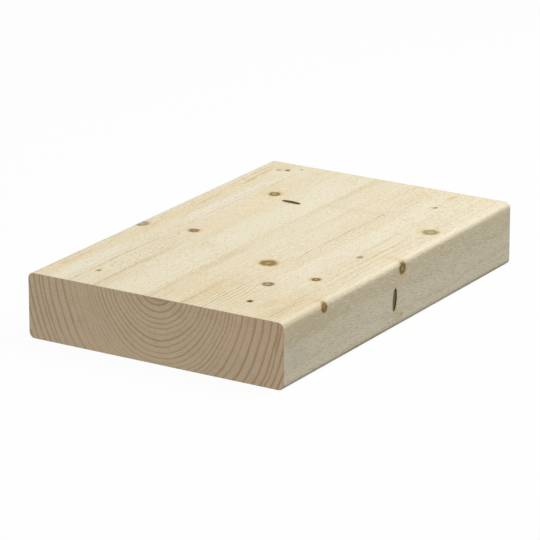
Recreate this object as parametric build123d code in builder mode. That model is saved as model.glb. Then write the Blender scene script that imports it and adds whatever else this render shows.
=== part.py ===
"""Planed softwood construction plank, 45 x 195 mm in section, cut to a short length.

One piece of timber lying flat on its wide face. The length runs along X, the width
along Y and the thickness along Z, with the origin under the middle of the lower face.
"""

import os

from build123d import *

# The stock as planed and cut, in millimetres
length = 300.0
width = 195.0
thickness = 45.0

# The planer rounds the four long edges, and the crosscut saw leaves the ends just off sharp
arris_radius = 4.0
end_break = 0.3

# Bark pockets: shallow oval hollows that a dead twig left in the planed surface
pocket_length = 15.8
pocket_width = 4.5
pocket_depth = 0.8

# The pocket in the upper face lies nearly square across the grain
top_pocket_length_share = 0.2355
top_pocket_width_share = 0.1625
top_pocket_turn = 84.0

# The pocket in the front edge stands nearly upright
edge_pocket_length_share = -0.0338
edge_pocket_thickness_share = 0.449
edge_pocket_turn = 83.0

upper_face = Plane.XY.offset(thickness)
front_edge = Plane.XZ.offset(width / 2)

with BuildPart() as plank:
    # The planed section, drawn at one end and run along the grain
    with BuildSketch(Plane.YZ.offset(-length / 2)):
        with Locations((0, thickness / 2)):
            RectangleRounded(width, thickness, arris_radius)
    extrude(amount=length)

    # The crosscut ends
    ends = plank.faces().filter_by(Axis.X)
    chamfer(ends.edges(), length=end_break)

    # The bark pockets, each drawn on its face and cut straight in
    with BuildSketch(upper_face):
        with Locations((length * top_pocket_length_share, width * top_pocket_width_share)):
            Ellipse(pocket_length / 2, pocket_width / 2, rotation=top_pocket_turn)
    with BuildSketch(front_edge):
        with Locations((length * edge_pocket_length_share, thickness * edge_pocket_thickness_share)):
            Ellipse(pocket_length / 2, pocket_width / 2, rotation=edge_pocket_turn)
    extrude(amount=-pocket_depth, mode=Mode.SUBTRACT)

plank.part.label = "plank"

os.makedirs("parts", exist_ok=True)
export_step(plank.part, "parts/plank.step")
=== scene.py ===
"""The looks of a planed softwood plank.

The timber is one closed mesh: rounded long edges, ends broken by the saw, knots that sank a little as the
wood dried, and two bark pockets. Its colour is a solid pattern in object coordinates, so that it runs on
from face to face: growth rings round a pith line, bands and fibres along the grain, knots and stains. Some
light and shade is painted into it as well: a highlight on the upper arrises, bounce light low on the long
edges and shade on the front face towards the near end.
Lengths are in millimetres unless a name says otherwise.
"""

import math

import bpy
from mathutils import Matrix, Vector


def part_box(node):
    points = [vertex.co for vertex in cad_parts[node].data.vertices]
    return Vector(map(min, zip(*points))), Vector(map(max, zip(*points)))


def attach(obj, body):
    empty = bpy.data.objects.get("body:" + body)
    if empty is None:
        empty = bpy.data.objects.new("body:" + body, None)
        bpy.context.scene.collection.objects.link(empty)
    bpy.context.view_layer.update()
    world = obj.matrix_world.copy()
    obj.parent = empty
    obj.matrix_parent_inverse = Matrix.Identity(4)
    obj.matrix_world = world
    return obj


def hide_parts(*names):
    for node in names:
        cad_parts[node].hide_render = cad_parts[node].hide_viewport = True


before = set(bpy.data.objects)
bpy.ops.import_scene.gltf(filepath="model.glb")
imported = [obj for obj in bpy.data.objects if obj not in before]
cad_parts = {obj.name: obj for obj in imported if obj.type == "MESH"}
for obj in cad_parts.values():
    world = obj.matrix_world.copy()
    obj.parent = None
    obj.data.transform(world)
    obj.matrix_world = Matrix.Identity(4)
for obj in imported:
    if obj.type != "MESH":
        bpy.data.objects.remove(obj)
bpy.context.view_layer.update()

MM = 0.001

# The plank's box comes from the frame, and its edges repeat the model's own sizes
low_corner, high_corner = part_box("plank")
length, width, thickness = ((high - low) / MM for low, high in zip(low_corner, high_corner))
arris_radius = 4.0
end_break = 0.3
near_end = -length / 2
far_end = length / 2
front_edge = -width / 2


def srgb(red, green, blue):
    """A colour given in display values from 0 to 255, as linear red, green, blue and alpha."""
    shares = (value / 255 for value in (red, green, blue))
    return (*(s / 12.92 if s <= 0.04045 else ((s + 0.055) / 1.055) ** 2.4 for s in shares), 1.0)


# Timber tints
cream = srgb(236, 225, 196)
pale = srgb(239, 232, 207)
milky = srgb(240, 234, 214)
straw = srgb(227, 209, 173)
tan = srgb(214, 194, 155)
drab = srgb(215, 201, 167)
# Painted bounce light for the lower half of the long edges
bounce_grey = srgb(230, 222, 200)
dusk = srgb(209, 195, 162)
# Painted highlight for the upper arrises
arris_highlight = srgb(250, 240, 214)
gold = srgb(226, 202, 150)
honey = srgb(238, 214, 168)
line_brown = srgb(178, 145, 100)
end_early = srgb(219, 197, 165)
end_late = srgb(178, 152, 121)
end_warm = srgb(204, 170, 134)
amber = srgb(216, 188, 132)
sand = srgb(222, 194, 142)
khaki = srgb(204, 192, 158)
stone = srgb(208, 200, 176)
rust = srgb(188, 140, 102)
bark = srgb(84, 64, 30)
bark_heart = srgb(150, 124, 82)

# Growth rings from the pith outwards: how many years, and the ring width in those years
growth = [(5, 4.2), (9, 3.2), (4, 2.6), (2, 4.5), (3, 5.7), (1, 4.5), (1, 2.4), (4, 4.2)]
pith_across = -2.0
pith_height = thickness + 8.5
first_ring = 2.0
ring_seed = 661230.0

# The tree grew a little slower on its left side, and its rings are fainter there for some years
slow_side = 3.3
slow_reach = 85.0
quiet_start = (49.0, 55.0)
quiet_end = (72.0, 67.0)
quiet_share = 0.5

# Below the pith the rings are drawn out downwards
bulge = 4.0
bulge_start = 26.0
bulge_end = 50.0

# Knot kinds: rim, heart, share of the radius where the heart starts, strength of the halo, and how many
# times as long as wide it is
knot_kinds = {
    "brown": (srgb(146, 119, 72), srgb(192, 160, 110), 0.55, 0.5, 1.0),
    "umber": (srgb(130, 108, 68), srgb(200, 170, 124), 0.65, 0.6, 1.0),
    "russet": (srgb(142, 116, 80), srgb(172, 145, 108), 0.6, 0.6, 1.0),
    "olive": (srgb(158, 144, 108), srgb(190, 175, 138), 0.7, 0.4, 1.0),
    "ring": (srgb(114, 94, 58), srgb(184, 164, 126), 0.8, 0.4, 1.0),
    "smoky": (srgb(124, 103, 70), srgb(194, 172, 136), 0.5, 0.7, 1.0),
    "dark": (srgb(124, 102, 64), srgb(178, 152, 112), 0.65, 0.7, 1.0),
    "pin": (srgb(78, 60, 28), srgb(78, 60, 28), 0.5, 1.0, 1.15),
    "fleck": (srgb(150, 128, 92), srgb(150, 128, 92), 0.5, 0.5, 1.15),
    "faint": (srgb(166, 149, 116), srgb(166, 149, 116), 0.5, 0.2, 1.15),
    "trace": (srgb(188, 168, 132), srgb(188, 168, 132), 0.5, 0.3, 1.0),
    "grey": (srgb(138, 129, 98), srgb(138, 129, 98), 0.5, 0.1, 1.15),
}

# Knots: face, place along the grain, place across it, radius, reach into the wood, kind
knots = [
    ("top", 81.2, 51.5, 4.4, 60.0, "umber"),
    ("top", 62.0, -83.4, 5.6, 25.0, "olive"),
    ("top", -18.2, 54.2, 3.9, 60.0, "russet"),
    ("top", -23.6, 92.9, 5.4, 14.0, "olive"),
    ("top", -51.5, -25.5, 6.1, 70.0, "brown"),
    ("top", -9.9, -70.5, 2.15, 12.0, "faint"),
    ("top", -64.5, -69.7, 3.3, 20.0, "smoky"),
    ("top", -88.6, -48.1, 3.9, 55.0, "ring"),
    ("top", -123.7, -56.4, 1.95, 10.0, "pin"),
    ("top", -122.5, 60.5, 1.75, 10.0, "faint"),
    ("top", 111.6, -59.3, 1.65, 8.0, "grey"),
    ("top", 134.6, 73.6, 1.9, 8.0, "fleck"),
    ("top", 132.0, 79.4, 1.8, 8.0, "trace"),
    ("top", 141.4, 66.1, 1.3, 8.0, "trace"),
    ("front", -100.0, 40.9, 3.6, 12.0, "dark"),
    ("front", -0.2, 39.3, 4.5, 16.0, "dark"),
]

# Bark pockets: face, place along the grain, place across it, turn from the grain in degrees
pocket_length = 15.8
pocket_width = 4.5
pocket_depth = 0.8
pockets = [
    ("top", 0.2355 * length, 0.1625 * width, 84.0),
    ("front", -0.0338 * length, 0.449 * thickness, 83.0),
]

# Mesh cells, the number of cells in an eighth of an arris circle, and the cells' split round a feature
cell = 1.8
arc_cells = 4
fine = 4
feature_margin = 2.5

# A point nearer to a face than this lies on it
touch = 0.001


def on_face(face, along, across):
    """The point of a face that lies at a place along the grain and across it."""
    if face == "top":
        return Vector((along, across, thickness))
    return Vector((along, front_edge, across))


def face_offset(face, point, along, across):
    """How far a point lies from a place on a face, along the grain, across it and into the wood."""
    step = point - on_face(face, along, across)
    return (step.x, step.y, -step.z) if face == "top" else (step.x, step.z, step.y)


def smooth(value, start, end):
    """A soft step from 0 at start to 1 at end."""
    share = min(max((value - start) / (end - start), 0.0), 1.0)
    return share * share * (3 - 2 * share)


def pocket_edge(along, across, turn):
    """How far outside a pocket's oval a point lies, with along and across from its middle."""
    angle = math.radians(turn)
    run = along * math.cos(angle) + across * math.sin(angle)
    side = across * math.cos(angle) - along * math.sin(angle)
    long_radius, short_radius = pocket_length / 2, pocket_width / 2
    share = math.hypot(run / long_radius, side / short_radius)
    slope = math.hypot(run / long_radius**2, side / short_radius**2)
    return share * (share - 1) / slope if slope else -short_radius


# How deep the knots' faces and rims sink, and the drying cracks of the larger ones, which turn from knot to
# knot. Shares are of a knot's radius
knot_sink = 0.12
knot_wall_shares = (1.1, 0.8)
rim_sink = 0.16
rim_share = 0.16
sink_reach_share = 2.0
crack_sink = 0.3
crack_half_width = 0.3
crack_end_shares = (0.85, 0.4)
crack_turn = 50.0
cracked_radius = 3.5
pocket_wall = 0.5
inward = {"top": Vector((0, 0, -1)), "front": Vector((0, 1, 0))}


def sink(point):
    """The way a surface point moves where a knot or a bark pocket lies below the planed face."""
    for number, (face, along, across, radius, _, _) in enumerate(knots):
        run, side, depth = face_offset(face, point, along, across)
        share = math.hypot(run, side) / radius
        if abs(depth) > touch or share > sink_reach_share:
            continue
        fall = knot_sink * smooth(share, *knot_wall_shares)
        fall += rim_sink * math.exp(-(((share - 1) / rim_share) ** 2))
        if radius > cracked_radius:
            turn = math.radians(number * crack_turn)
            off_crack = side * math.cos(turn) - run * math.sin(turn)
            opening = math.exp(-((off_crack / crack_half_width) ** 2))
            fall += crack_sink * opening * smooth(share, *crack_end_shares)
        return inward[face] * fall
    for face, along, across, turn in pockets:
        run, side, depth = face_offset(face, point, along, across)
        if abs(depth) < touch and math.hypot(run, side) < pocket_length:
            return inward[face] * pocket_depth * smooth(pocket_edge(run, side, turn), 0.0, -pocket_wall)
    return Vector()


def split(index, flat_cells, flat_length):
    """A lattice index as a place on the flat of a face and a share of the rounding beyond it."""
    cells = index / fine - arc_cells
    if cells < 0:
        return -flat_length / 2, cells / arc_cells
    if cells > flat_cells:
        return flat_length / 2, (cells - flat_cells) / arc_cells
    return flat_length * (cells / flat_cells - 0.5), 0.0


flat_width = width - 2 * arris_radius
flat_thickness = thickness - 2 * arris_radius
cells_along = round(length / cell)
cells_across = round(flat_width / cell)
cells_up = round(flat_thickness / cell)
lattice_size = (
    (cells_along + 2) * fine,
    (cells_across + 2 * arc_cells) * fine,
    (cells_up + 2 * arc_cells) * fine,
)


def lattice_point(i, j, k):
    """The planed surface's point at a lattice index along, across and up."""
    cells = i / fine - 1
    if cells < 0:
        x = near_end + (1 + cells) * end_break
        inset = -cells * end_break
    elif cells > cells_along:
        x = far_end - (1 + cells_along - cells) * end_break
        inset = (cells - cells_along) * end_break
    else:
        x = near_end + end_break + cells / cells_along * (length - 2 * end_break)
        inset = 0.0
    y, out_y = split(j, cells_across, flat_width)
    z, out_z = split(k, cells_up, flat_thickness)
    reach = max(abs(out_y), abs(out_z))
    if reach:
        if abs(out_y) >= abs(out_z):
            turn = abs(out_z / out_y) * math.pi / 4
        else:
            turn = math.pi / 2 - abs(out_y / out_z) * math.pi / 4
        out = reach * (arris_radius - inset)
        y += math.copysign(out * math.cos(turn), out_y)
        z += math.copysign(out * math.sin(turn), out_z)
    return Vector((x, y, z + thickness / 2))


# The six faces of the lattice: fixed axis, which end of it, and the lower left corner on the bake map,
# where the two sawn ends stand upright
map_side = (2 * thickness + length, 2 * thickness + 2 * width)
map_gap = 2.0
lattice_faces = {
    "top": (2, 1, (0, 0)),
    "bottom": (2, 0, (0, width)),
    "front": (1, 0, (0, 2 * width)),
    "back": (1, 1, (0, 2 * width + thickness)),
    "near": (0, 0, (length, 0)),
    "far": (0, 1, (length + thickness, 0)),
}


class PlankMesh:
    """Collects the vertices, faces and bake map of the plank's surface."""

    def __init__(self):
        self.numbers = {}
        self.points = []
        self.faces = []
        self.map_points = []

    def vertex(self, index):
        """The number of the vertex at a lattice index, which is made when first asked for."""
        if index not in self.numbers:
            self.numbers[index] = len(self.points)
            point = lattice_point(*index)
            self.points.append((point + sink(point)) * MM)
        return self.numbers[index]

    def add(self, face, indices):
        """One mesh face round lattice indices, turned to look outwards."""
        axis, side, _ = lattice_faces[face]
        if (side == 1) == (axis == 1):
            indices = indices[::-1]
        self.faces.append([self.vertex(index) for index in indices])
        self.map_points.extend(self.map_point(face, index) for index in indices)

    def map_point(self, face, index):
        """A lattice index's place on the bake map."""
        axis, _, corner = lattice_faces[face]
        shares = [i / size for i, size in zip(index, lattice_size)]
        sizes = [length, width, thickness]
        across, up = [a for a in range(3) if a != axis]
        if axis == 0:
            across, up = up, across
        place = [map_gap + shares[a] * (sizes[a] - 2 * map_gap) for a in (across, up)]
        return [(start + run) / total for start, run, total in zip(corner, place, map_side)]


def has_feature(point):
    """Whether a knot or a bark pocket reaches a point of the surface."""
    for face, along, across, radius, _, _ in knots:
        run, side, depth = face_offset(face, point, along, across)
        if abs(depth) < arris_radius and math.hypot(run, side) < radius + feature_margin:
            return True
    for face, along, across, turn in pockets:
        run, side, depth = face_offset(face, point, along, across)
        if abs(depth) < touch and pocket_edge(run, side, turn) < feature_margin:
            return True
    return False


def plank_piece():
    """The plank's surface as one closed mesh."""
    mesh = PlankMesh()
    plain_cells = []
    for face, (axis, side, _) in lattice_faces.items():
        across, up = [a for a in range(3) if a != axis]
        for a in range(0, lattice_size[across], fine):
            for b in range(0, lattice_size[up], fine):
                def index(step_a, step_b):
                    """The lattice index some steps from this cell's lower corner."""
                    place = [0, 0, 0]
                    place[axis] = side * lattice_size[axis]
                    place[across] = a + step_a
                    place[up] = b + step_b
                    return tuple(place)

                if not has_feature(lattice_point(*index(fine // 2, fine // 2))):
                    rim = [index(step, 0) for step in range(fine)]
                    rim += [index(fine, step) for step in range(fine)]
                    rim += [index(fine - step, fine) for step in range(fine)]
                    rim += [index(0, fine - step) for step in range(fine)]
                    plain_cells.append((face, rim, index(fine // 2, fine // 2)))
                    continue
                for step_a in range(fine):
                    for step_b in range(fine):
                        mesh.add(face, [
                            index(step_a, step_b),
                            index(step_a + 1, step_b),
                            index(step_a + 1, step_b + 1),
                            index(step_a, step_b + 1),
                        ])
    # A plain cell is one face, or a fan where the cells beside it are split
    for face, rim, middle in plain_cells:
        corners = rim[::fine]
        shared = [i for i in rim if i in corners or i in mesh.numbers]
        if len(shared) == len(corners):
            mesh.add(face, corners)
            continue
        for first, second in zip(shared, shared[1:] + shared[:1]):
            mesh.add(face, [first, second, middle])
    return mesh


# Faces that meet at more than this angle, in degrees, keep a sharp edge
sharp_angle = 35.0


def plank_object():
    """The plank's mesh as an object, smooth except at the sawn edges."""
    surface = plank_piece()
    mesh = bpy.data.meshes.new("plank_timber")
    mesh.from_pydata(surface.points, [], surface.faces)
    bake_map = mesh.uv_layers.new(name="OFBake")
    bake_map.data.foreach_set("uv", [value for point in surface.map_points for value in point])
    mesh.polygons.foreach_set("use_smooth", [True] * len(mesh.polygons))
    mesh.set_sharp_from_angle(angle=math.radians(sharp_angle))
    piece = bpy.data.objects.new("plank_timber", mesh)
    bpy.context.scene.collection.objects.link(piece)
    return piece


timber = bpy.data.materials.new("timber")
timber.use_nodes = True
tree = timber.node_tree
tree.nodes.clear()


class Field:
    """An output in the timber's node tree, so that math nodes can be written as sums."""

    def __init__(self, socket):
        self.socket = socket

    def __add__(self, other):
        return math_node("ADD", self, other)

    def __sub__(self, other):
        return math_node("SUBTRACT", self, other)

    def __rsub__(self, other):
        return math_node("SUBTRACT", other, self)

    def __mul__(self, other):
        return math_node("MULTIPLY", self, other)

    def __truediv__(self, other):
        return math_node("DIVIDE", self, other)

    def __rtruediv__(self, other):
        return math_node("DIVIDE", other, self)

    def __abs__(self):
        return math_node("ABSOLUTE", self)

    __radd__ = __add__
    __rmul__ = __mul__


def add_node(kind, inputs, **settings):
    """A node with its settings, and with its inputs set or linked by name or number."""
    node = tree.nodes.new(kind)
    for name, value in settings.items():
        setattr(node, name, value)
    for key, value in inputs.items():
        if isinstance(value, Field):
            tree.links.new(value.socket, node.inputs[key])
        else:
            node.inputs[key].default_value = value
    return node


def math_node(operation, *values):
    """The result of one math node."""
    return Field(add_node("ShaderNodeMath", dict(enumerate(values)), operation=operation).outputs[0])


def vector_node(operation, *values):
    """The vector that comes from one vector math node."""
    node = add_node("ShaderNodeVectorMath", dict(enumerate(values)), operation=operation)
    return Field(node.outputs["Vector"])


def vector_length(vector):
    """A vector's length."""
    node = add_node("ShaderNodeVectorMath", {0: vector}, operation="LENGTH")
    return Field(node.outputs["Value"])


def parts(vector):
    """The three numbers of a vector."""
    node = add_node("ShaderNodeSeparateXYZ", {0: vector})
    return [Field(socket) for socket in node.outputs]


def together(x, y, z):
    """A vector of three numbers."""
    return Field(add_node("ShaderNodeCombineXYZ", {0: x, 1: y, 2: z}).outputs[0])


def step_up(value, start, end):
    """A soft step from 0 at start to 1 at end, either way round."""
    inputs = {"Value": value, "From Min": start, "From Max": end}
    node = add_node("ShaderNodeMapRange", inputs, interpolation_type="SMOOTHSTEP")
    return Field(node.outputs["Result"])


def noise(place, size, detail=1.0):
    """Noise from 0 to 1 whose lumps have a size along, across and up."""
    scaled = from_turned_centre(place, (0.0, 0.0, 0.0), size, (0.0, 0.0, 0.0))
    inputs = {"Vector": scaled, "Scale": 1.0, "Detail": detail}
    return Field(add_node("ShaderNodeTexNoise", inputs).outputs[0])


def ripple(place, size, height, detail=1.0):
    """Noise of some height either side of zero."""
    return (noise(place, size, detail) - 0.5) * (2 * height)


def mix(first, second, share):
    """One colour going over into another."""
    inputs = {0: share, 6: first, 7: second}
    return Field(add_node("ShaderNodeMix", inputs, data_type="RGBA").outputs[2])


def from_centre(place, centre, radii):
    """A place measured from a centre in shares of three radii."""
    return vector_node("DIVIDE", vector_node("SUBTRACT", place, centre), radii)


def from_turned_centre(place, centre, radii, turn):
    """A place measured from a centre in shares of three radii, along turned axes."""
    inputs = {"Vector": place, "Location": centre, "Rotation": turn, "Scale": radii}
    node = add_node("ShaderNodeMapping", inputs, vector_type="TEXTURE")
    return Field(node.outputs["Vector"])


def face_radii(face, along, across, reach):
    """Three radii along the axes, from a size on a face and a reach into the wood."""
    return (along, across, reach) if face == "top" else (along, reach, across)


def ring_number(radius):
    """How many growth rings lie inside a radius."""
    rings = sum(years for years, _ in growth)
    reach = first_ring + sum(years * ring_width for years, ring_width in growth)
    node = add_node("ShaderNodeFloatCurve", {"Value": radius / reach})
    curve = node.mapping.curves[0]
    count, distance = 0, first_ring
    curve.points[0].location = (0.0, 0.0)
    for years, ring_width in growth[:-1]:
        count += years
        distance += years * ring_width
        curve.points.new(distance / reach, count / rings)
    for point in curve.points:
        point.handle_type = "VECTOR"
    node.mapping.update()
    return Field(node.outputs[0]) * rings


coordinates = add_node("ShaderNodeTexCoord", {})
place = vector_node("MULTIPLY", Field(coordinates.outputs["Object"]), (1 / MM,) * 3)
x, y, z = parts(place)
normal_x, normal_y, normal_z = parts(Field(coordinates.outputs["Normal"]))

# Where the sawn ends and the long edges start and are full, by the way the surface looks, and how far
# from the upper and lower faces their own patterns start and are full
end_turn = (0.3, 0.6)
edge_turn = (0.5, 0.8)
face_fade = 7.0
face_full = 2.0
on_end = step_up(abs(normal_x), *end_turn)
on_edge = step_up(abs(normal_y), *edge_turn)
upper = step_up(z, thickness - face_fade, thickness - face_full)
lower = step_up(z, face_fade, face_full)

# Noise detail in fine patterns and in broad ones
fine_detail = 2.0
broad_detail = 3.0

# The grain wanders sideways and up along the plank: size of a bend along, across and up, and its height
wander_run = 90.0
long_wander = ((150.0, 60.0, 60.0), 2.5)
middle_wander = ((45.0, 20.0, 20.0), 1.5)
short_wander = ((26.0, 12.0, 12.0), 0.6)
face_wander = ((12.0, 6.0, 6.0), 0.5)
long_rise = ((170.0, 80.0, 80.0), 2.0)
short_rise = ((30.0, 13.0, 13.0), 0.6)
wander = step_up(x, near_end, near_end + wander_run)
grain_y = y + (ripple(place, *long_wander) + ripple(place, *middle_wander)) * wander
grain_y = grain_y + ripple(place, *short_wander) + ripple(place, *face_wander) * (1 - on_end)
grain_z = z + ripple(place, *long_rise) * wander + ripple(place, *short_rise)

# It parts round the knots as a stream parts round a post: lengths in shares of a knot's radius
flow_stretch = 2.0
flow_reach = 3.5
flow_core = 0.5
flow_share = 0.6
knot_distances = []
for face, along, across, radius, reach, kind in knots:
    radii = face_radii(face, radius * knot_kinds[kind][-1], radius, reach)
    offset = from_centre(place, on_face(face, along, across), radii)
    knot_distances.append(vector_length(offset))
    stretched = vector_node("MULTIPLY", offset, (1 / flow_stretch, 1.0, 1.0))
    push = step_up(vector_length(stretched), flow_reach, flow_core) * flow_share
    if face == "top":
        grain_y = grain_y - (y - across) * push
    else:
        grain_z = grain_z - (z - across) * push
grain = together(x, grain_y, grain_z)

# Growth rings: each year's ring is strong or weak by chance, and the outer years are stronger
ring_least = 0.34
ring_spread = 0.62
quiet_across = (5.0, 25.0)
left_across = (40.0, 60.0)
left_loss = 0.2
outer_start = (88.0, 91.0)
outer_gain = 0.6
late_rise = (0.6, 0.92)
late_fall = (1.0, 0.95)
depth = pith_height - grain_z
depth = depth - bulge * step_up(depth, bulge_start, bulge_end)
lateral = grain_y - pith_across
radius = math_node("SQRT", lateral * lateral + depth * depth)
radius = radius + step_up(lateral, 0.0, slow_reach) * slow_side
rings = ring_number(radius)
phase = math_node("FRACT", rings)
year = math_node("FLOOR", rings)
year_node = add_node("ShaderNodeTexWhiteNoise", {"W": year + ring_seed}, noise_dimensions="1D")
ring_strength = Field(year_node.outputs["Value"]) * ring_spread + ring_least
quiet = step_up(lateral, *quiet_across) * step_up(radius, *quiet_start) * step_up(radius, *quiet_end)
ring_strength = ring_strength * (1 - quiet * quiet_share)
ring_strength = ring_strength * (1 - step_up(lateral, *left_across) * left_loss)
ring_strength = ring_strength * (1 + step_up(radius, *outer_start) * outer_gain)
latewood = step_up(phase, *late_rise) * step_up(phase, *late_fall)


def stretch(middle, half_width, soft, start, end, fade):
    """A share that is 1 in a stretch of the upper face along the grain, with soft sides and soft ends."""
    inside = step_up(abs(grain_y - middle), half_width + soft / 2, half_width - soft / 2)
    run = step_up(x, start - fade, start + fade) * step_up(x, end + fade, end - fade)
    return inside * run * upper


# Clouds of other tints in the cream wood: size, noise where they start and are full, tint, share
clouds = [
    ((70.0, 9.0, 9.0), (0.4, 0.75), straw, 0.6),
    ((50.0, 6.0, 6.0), (0.5, 0.8), pale, 0.5),
]
timber_colour = cream
for size, start, tint, share in clouds:
    cloud = step_up(noise(grain, size, broad_detail), *start)
    timber_colour = mix(timber_colour, tint, cloud * share)

# Bands on the upper face: middle across the grain, half width, soft edge, start and end along, tint, share
bands = [
    (95.0, 3.5, 4.0, near_end, far_end, milky, 0.4),
    (86.0, 4.0, 5.0, near_end, far_end, honey, 0.5),
    (67.0, 3.0, 4.0, 105, far_end, pale, 0.5),
    (76.0, 6.0, 8.0, near_end, -70, milky, 0.8),
    (72.0, 6.0, 8.0, 0, 110, milky, 0.6),
    (50.0, 10.0, 9.0, -20, 110, honey, 0.22),
    (46.0, 1.6, 3.0, near_end, -45, tan, 0.65),
    (21.5, 13.0, 11.0, -40, far_end, pale, 0.7),
    (21.5, 13.0, 11.0, near_end, -40, pale, 0.55),
    (4.5, 3.0, 5.0, near_end, -30, tan, 0.5),
    (3.5, 2.0, 3.0, near_end, -110, tan, 0.6),
    (5.5, 3.0, 5.0, 85, far_end, tan, 0.4),
    (6.0, 3.5, 6.0, -30, 85, tan, 0.2),
    (-5.0, 6.0, 5.0, -40, 100, pale, 0.4),
    (-47.0, 50.0, 16.0, near_end, -85, straw, 0.22),
    (-20.0, 14.0, 10.0, near_end, -70, gold, 0.22),
    (-24.0, 4.5, 5.0, near_end, -98, gold, 0.45),
    (-21.5, 1.5, 3.0, near_end, -122, line_brown, 0.4),
    (-31.5, 3.5, 4.0, 100, far_end, straw, 0.35),
    (-50.0, 7.0, 6.0, 100, far_end, pale, 0.5),
    (-57.0, 6.5, 9.0, -75, 105, milky, 0.6),
    (-60.0, 8.0, 8.0, near_end, -105, straw, 0.25),
    (-73.0, 6.0, 5.0, -60, 0, straw, 0.3),
    (-80.5, 2.5, 3.0, 20, 100, straw, 0.25),
    (-82.0, 9.0, 8.0, near_end, -100, gold, 0.3),
    (-94.0, 6.0, 6.0, -60, far_end, pale, 0.7),
]
band_fade = 20.0
patch_size = (40.0, 7.0, 7.0)
patch_gain = 2.0
patchy = noise(place, patch_size, broad_detail) * patch_gain
for middle, half_width, soft, start, end, tint, share in bands:
    band = stretch(middle, half_width, soft, start, end, band_fade)
    timber_colour = mix(timber_colour, tint, band * patchy * share)

# The long edges are browner in their upper half; their lower half is painted paler and greyer, a painted
# bounce
# light from the floor: height where the tint starts, height where it is full, tint, share
edge_tints = [
    (12.0, 38.0, drab, 0.6),
    (38.0, 18.0, bounce_grey, 0.5),
]
for start, full, tint, share in edge_tints:
    timber_colour = mix(timber_colour, tint, on_edge * step_up(z, start, full) * share)

# Ring lines on the long faces: everywhere a little, more on the lower face and in these stretches of the
# upper one: middle across the grain, half width, start and end along, share
line_zones = [
    (91.0, 4.0, near_end, far_end, 0.2),
    (54.0, 14.0, near_end, -30, 0.4),
    (-39.5, 6.0, near_end, far_end, 0.5),
    (-44.0, 14.0, near_end, -95, 0.45),
    (-80.0, 12.0, -80, 40, 0.25),
    (-28.0, 8.0, near_end, -95, 0.5),
]
line_soft = 8.0
line_fade = 25.0
line_least = 0.12
line_change = ((60.0, 9.0, 9.0), 0.1)
lower_lines = 0.25
edge_lines = 0.04
dash_size = (13.0, 1.5, 1.5)
dash_start = (0.3, 0.55)
glow_rise = (0.3, 0.9)
glow_share = 0.25
line_share = ripple(grain, *line_change) + lower * lower_lines + on_edge * edge_lines + line_least
for middle, half_width, start, end, share in line_zones:
    line_share = line_share + stretch(middle, half_width, line_soft, start, end, line_fade) * share
dashes = step_up(noise(grain, dash_size, fine_detail), *dash_start)
line_share = math_node("MAXIMUM", line_share, 0.0)
glow = step_up(phase, *glow_rise) * step_up(phase, *late_fall) * ring_strength * line_share
timber_colour = mix(timber_colour, gold, glow * glow_share)
lines = latewood * ring_strength * line_share * dashes
timber_colour = mix(timber_colour, line_brown, lines)

# Single years that show as a darker line: place across the grain, half width, start and end along, share
grain_lines = [
    (90.0, 0.5, 85, 140, 0.4),
    (85.0, 0.8, 90, 132, 0.55),
    (85.5, 0.7, 32, 65, 0.45),
    (79.0, 0.4, 0, 45, 0.4),
    (88.5, 0.6, -125, -92, 0.5),
    (66.5, 0.5, -12, 75, 0.45),
    (64.0, 0.5, 93, 127, 0.5),
    (66.0, 0.5, near_end, -48, 0.55),
    (47.0, 0.6, near_end, -88, 0.4),
    (-20.5, 0.8, near_end, -98, 0.35),
    (-37.0, 0.5, -30, 80, 0.4),
    (-66.5, 0.6, 0, 50, 0.35),
    (-77.5, 0.6, -22, 30, 0.4),
    (-80.5, 0.7, -147, -78, 0.35),
    (-83.5, 0.9, -147, -100, 0.45),
    (-86.5, 0.7, -147, -88, 0.3),
    (-91.5, 0.6, -125, -80, 0.3),
]
grain_line_soft = 1.3
grain_line_fade = 8.0
break_size = (12.0, 2.0, 2.0)
break_start = (0.3, 0.5)
breaks = step_up(noise(grain, break_size, fine_detail), *break_start)
for middle, half_width, start, end, share in grain_lines:
    line = stretch(middle, half_width, grain_line_soft, start, end, grain_line_fade)
    timber_colour = mix(timber_colour, line_brown, line * breaks * share)

# Fibres: fine streaks along the grain, and a mottle of lighter and browner flecks, which are longer, slanted
# and greyer on the long edges
streaks = ((14.0, 0.6, 0.6), 0.5, fine_detail)
specks = ((2.6, 1.1, 1.1), 1.5, fine_detail)
edge_slant = 0.15
edge_streaks = ((9.0, 0.8, 0.8), 0.6, fine_detail)
edge_specks = ((4.0, 0.6, 0.6), 1.8, fine_detail)

# Stretches with stronger flecks: middle across the grain, half width, soft edge, start and end along, gain
speck_zones = [
    (54.0, 8.0, 6.0, -120, -30, 0.6),
    (-60.0, 38.0, 10.0, 50, far_end, 0.2),
]
speck_strength = 1.0
for *zone, gain in speck_zones:
    speck_strength = stretch(*zone, band_fade) * gain + speck_strength
fibres = ripple(grain, *streaks)
flecks = ripple(grain, *specks) * speck_strength
slanted = together(x, grain_y, grain_z + x * edge_slant)
edge_flecks = ripple(slanted, *edge_streaks) + ripple(slanted, *edge_specks)
mottle = flecks * (1 - on_edge) + edge_flecks * on_edge

# Their tints: pattern, height of it where the tint is full, tint, share
fibre_tints = [
    (fibres, 0.7, tan, 0.35),
    (fibres, -0.7, pale, 0.6),
    (mottle, 0.8, mix(tan, dusk, on_edge), 0.85),
    (mottle, -0.8, pale, 1.0),
]
for pattern, full, tint, share in fibre_tints:
    timber_colour = mix(timber_colour, tint, step_up(pattern, 0.0, full) * share)

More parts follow.
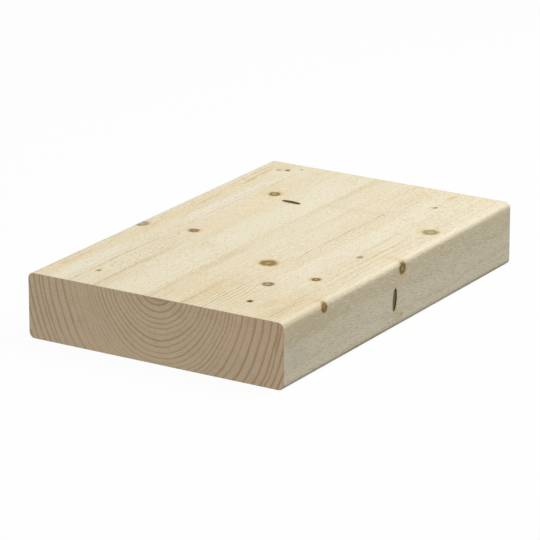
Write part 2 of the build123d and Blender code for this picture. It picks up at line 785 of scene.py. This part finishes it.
# The upper arrises get a painted highlight, paler where the rounding turns upwards, more so away from the
# near end
arris_start = (0.25, 0.6)
arris_end = (0.92, 0.75)
highlight_run = (-140.0, 0.0)
highlight_least = 0.1
highlight_gain = 0.25
arris = step_up(normal_z, *arris_start) * step_up(normal_z, *arris_end)
highlight_share = step_up(x, *highlight_run) * highlight_gain + highlight_least
timber_colour = mix(timber_colour, arris_highlight, arris * highlight_share)

# Stains, and painted shade on the front face towards the near end: centre, radii, tint, share
stains = [
    ((78.0, -17.0, thickness), (6.0, 36.0, 8.0), tan, 0.2),
    ((-40.0, 27.5, thickness), (8.0, 7.0, 6.0), tan, 0.2),
    ((137.3, -58.0, thickness), (6.5, 3.2, 5.0), amber, 0.55),
    ((-122.0, -69.5, thickness), (13.0, 5.0, 5.0), sand, 0.45),
    ((128.0, 76.0, thickness), (9.0, 8.0, 5.0), pale, 0.6),
    ((139.0, 77.0, thickness), (7.0, 8.0, 5.0), straw, 0.35),
    ((133.0, 77.5, thickness), (4.0, 6.0, 5.0), tan, 0.3),
    ((-7.0, front_edge, 9.0), (7.0, 5.0, 6.0), tan, 0.35),
    ((-1.3, front_edge, 8.2), (1.9, 4.0, 1.4), line_brown, 0.5),
    # Painted shade: the front face and its upper arris darker and greyer towards the near end
    ((-120.0, front_edge, 34.0), (60.0, 5.0, 9.0), khaki, 0.35),
    ((-130.0, front_edge, 41.8), (45.0, 3.0, 4.0), drab, 0.5),
    ((-135.0, front_edge, 19.0), (18.0, 5.0, 11.0), stone, 0.4),
]
patch_edge = (1.2, 0.3)
patch_ripple = ((5.0, 3.0, 3.0), 0.3)
for centre, radii, tint, share in stains:
    distance = vector_length(from_centre(place, centre, radii)) + ripple(place, *patch_ripple)
    timber_colour = mix(timber_colour, tint, step_up(distance, *patch_edge) * share)

# End grain: the rings' dark lines, pores and cloudy tones
end_least = 0.1
end_rise = (0.55, 0.9)
end_fall = (1.0, 0.94)
pore_lumps = ((0.8, 0.8, 0.8), 1.0, fine_detail)
pore_share = 0.6
end_clouds = ((9.0, 9.0, 9.0), 0.15, fine_detail)
pores = ripple(place, *pore_lumps)
end_line = step_up(phase, *end_rise) * step_up(phase, *end_fall) * ring_strength
end_tone = ripple(place, *end_clouds)

# It is paler low on the left and darker high on the right: heights and places across, where the tone starts
# and is full, and the tone
end_corners = [
    ((20.0, 5.0), (-50.0, 0.0), -0.18),
    ((30.0, 42.0), (40.0, 0.0), 0.1),
]
for heights, places, tone in end_corners:
    end_tone = end_tone + step_up(z, *heights) * step_up(y, *places) * tone
end_share = math_node("MINIMUM", end_line + pores * pore_share + end_tone + end_least, 1.0)
end_colour = mix(end_early, end_late, math_node("MAXIMUM", end_share, 0.0))

# Warmer patches on the end, and a warmer tone towards its right
warm_size = (7.0, 4.0, 7.0)
warm_start = (0.5, 0.8)
warm_patches = 0.3
warm_across = (30.0, -80.0)
warm_right = 0.12
warmth = step_up(noise(place, warm_size, fine_detail), *warm_start) * warm_patches
warmth = warmth + step_up(y, *warm_across) * warm_right
end_colour = mix(end_colour, end_warm, warmth)

# Stains on the sawn end: centre, radii, tilt in degrees, tint, share
end_stains = [
    ((near_end, -4.0, thickness), (4.0, 9.0, 3.0), 0.0, end_late, 0.7),
    ((near_end, -93.4, 33.0), (4.0, 1.6, 11.0), 13.0, rust, 0.5),
]
for centre, radii, tilt, tint, share in end_stains:
    offset = from_turned_centre(place, centre, radii, (math.radians(tilt), 0.0, 0.0))
    end_colour = mix(end_colour, tint, step_up(vector_length(offset), *patch_edge) * share)
colour = mix(timber_colour, end_colour, on_end)

# The broken edge round the end is dark with torn fibres
saw_turn = (0.95, 0.8)
saw_share = 0.8
saw_edge = on_end * step_up(abs(normal_x), *saw_turn)
colour = mix(colour, end_late, saw_edge * saw_share)

# Knots: a soft halo, a dark rim and a lighter heart, in shares of the radius, with a ragged outline
halo_edge = (2.0, 0.9)
knot_edge = (1.35, 0.6)
heart_soft = 0.5
rag_size = 0.5
rag_height = 0.35
for (_, _, _, knot_radius, _, kind), distance in zip(knots, knot_distances):
    rim, heart, heart_start, halo, _ = knot_kinds[kind]
    distance = distance + ripple(place, (knot_radius * rag_size,) * 3, rag_height, fine_detail)
    colour = mix(colour, gold, step_up(distance, *halo_edge) * halo)
    knot_colour = mix(rim, heart, step_up(distance, heart_start, heart_start - heart_soft))
    colour = mix(colour, knot_colour, step_up(distance, *knot_edge))

# Bark pockets: a stained margin, then bark that is lighter in the middle and stops short of the tips
pocket_reach = 8.0
pocket_ripple = ((1.2, 1.2, 1.2), 0.3)
tip_start = (0.75, 1.0)
tip_gap = 0.4
margin_edge = (2.5, 0.3)
margin_share = 0.4
bark_edge = (0.6, 0.05)
bark_heart_edge = (-0.1, -1.3)
for face, along, across, turn in pockets:
    angle = math.radians(turn)
    rotation = (0.0, 0.0, angle) if face == "top" else (0.0, -angle, 0.0)
    radii = face_radii(face, pocket_length / 2, pocket_width / 2, pocket_reach)
    offset = from_turned_centre(place, on_face(face, along, across), radii, rotation)
    share = vector_length(offset)
    slope = vector_length(vector_node("DIVIDE", offset, radii))
    tip = step_up(abs(parts(offset)[0]), *tip_start)
    outside = share * (share - 1) / slope + ripple(place, *pocket_ripple) + tip * tip_gap
    colour = mix(colour, tan, step_up(outside, *margin_edge) * margin_share)
    filling = mix(bark, bark_heart, step_up(outside, *bark_heart_edge))
    colour = mix(colour, filling, step_up(outside, *bark_edge))

# Surface: fine streaks in relief, and a dull shine that is duller still on the sawn ends
relief = ((14.0, 0.6, 0.6), 0.4, fine_detail)
relief_strength = 0.25
relief_depth = 0.2
roughness = 0.7
roughness_change = ((30.0, 2.0, 2.0), 0.08)
end_roughness = 0.1
shine = 0.1
bump = add_node("ShaderNodeBump", {
    "Strength": relief_strength,
    "Distance": relief_depth * MM,
    "Height": ripple(place, *relief),
})
surface = add_node("ShaderNodeBsdfPrincipled", {
    "Base Color": colour,
    "Roughness": ripple(grain, *roughness_change) + on_end * end_roughness + roughness,
    "Specular IOR Level": shine,
    "Normal": Field(bump.outputs["Normal"]),
})
output = tree.nodes.new("ShaderNodeOutputMaterial")
tree.links.new(surface.outputs["BSDF"], output.inputs["Surface"])

plank = plank_object()
plank.data.materials.append(timber)
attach(plank, "root")
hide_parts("plank")

# Floor and light, in metres
floor_radius = 4.0
floor_sides = 96
floor_drop = 0.0001
floor_tone = 0.9
floor_bounce = 0.13
floor_white = 0.94
world_light = 0.42


def seen_directly(nodes, links):
    """A share that is 1 for rays from the camera, also by way of a mirror or glass, and 0 for the rest."""
    path = nodes.new("ShaderNodeLightPath")
    share = path.outputs["Is Camera Ray"]
    for other in ("Is Glossy Ray", "Is Transmission Ray"):
        either = nodes.new("ShaderNodeMath")
        either.operation = "MAXIMUM"
        links.new(share, either.inputs[0])
        links.new(path.outputs[other], either.inputs[1])
        share = either.outputs[0]
    return share


def floor_material():
    """A pale floor that the camera sees as white, with a soft trace of the plank's shadow."""
    material = bpy.data.materials.new("floor")
    material.use_nodes = True
    nodes, links = material.node_tree.nodes, material.node_tree.links
    nodes.clear()
    diffuse = nodes.new("ShaderNodeBsdfDiffuse")
    tone = nodes.new("ShaderNodeMapRange")
    tone.inputs["To Min"].default_value = floor_bounce
    tone.inputs["To Max"].default_value = floor_tone
    direct = seen_directly(nodes, links)
    links.new(direct, tone.inputs["Value"])
    links.new(tone.outputs["Result"], diffuse.inputs["Color"])
    white = nodes.new("ShaderNodeEmission")
    white.inputs["Strength"].default_value = 1.0
    share = nodes.new("ShaderNodeMath")
    share.operation = "MULTIPLY"
    links.new(direct, share.inputs[0])
    share.inputs[1].default_value = floor_white
    both = nodes.new("ShaderNodeMixShader")
    links.new(share.outputs[0], both.inputs[0])
    links.new(diffuse.outputs[0], both.inputs[1])
    links.new(white.outputs[0], both.inputs[2])
    output = nodes.new("ShaderNodeOutputMaterial")
    links.new(both.outputs[0], output.inputs["Surface"])
    return material


bpy.ops.mesh.primitive_circle_add(
    vertices=floor_sides,
    radius=floor_radius,
    fill_type="NGON",
    location=(0, 0, -floor_drop),
)
floor = bpy.context.object
floor.name = "floor"
floor.data.materials.append(floor_material())

world = bpy.data.worlds.new("studio")
bpy.context.scene.world = world
world.use_nodes = True
world_nodes, world_links = world.node_tree.nodes, world.node_tree.links
background = world_nodes["Background"]
background.inputs["Color"].default_value = (1.0, 1.0, 1.0, 1.0)
strength = world_nodes.new("ShaderNodeMapRange")
strength.inputs["To Min"].default_value = world_light
strength.inputs["To Max"].default_value = 1.0
world_links.new(seen_directly(world_nodes, world_links), strength.inputs["Value"])
world_links.new(strength.outputs["Result"], background.inputs["Strength"])


def soft_lamp(name, place, size, power):
    """A square lamp that looks at the plank."""
    lamp = bpy.data.objects.new(name, bpy.data.lights.new(name, "AREA"))
    lamp.data.size = size
    lamp.data.energy = power
    lamp.location = place
    lamp.rotation_euler = (-lamp.location).to_track_quat("-Z", "Y").to_euler()
    bpy.context.scene.collection.objects.link(lamp)


# Lamps: name, place and size in metres, power in watts
lamps = [
    ("key", (0.45, -0.48, 1.2), 0.8, 9.5),
    ("fill", (-2.8, -1.44, 1.47), 2.0, 46.0),
]
for lamp in lamps:
    soft_lamp(*lamp)

# The camera stands where the photograph was taken from, in metres
camera_place = Vector((-1.9689, -1.2123, 0.7871))
camera_azimuth = math.radians(-58.27)
camera_elevation = math.radians(18.33)
camera_lens = 241.4
camera_reach = 50.0
camera = bpy.data.objects.new("camera", bpy.data.cameras.new("camera"))
camera.data.lens = camera_lens
camera.data.clip_end = camera_reach
camera.location = camera_place
camera.rotation_euler = (math.pi / 2 - camera_elevation, 0.0, camera_azimuth)
bpy.context.scene.collection.objects.link(camera)
bpy.context.scene.camera = camera

bpy.context.scene.view_settings.view_transform = "Standard"
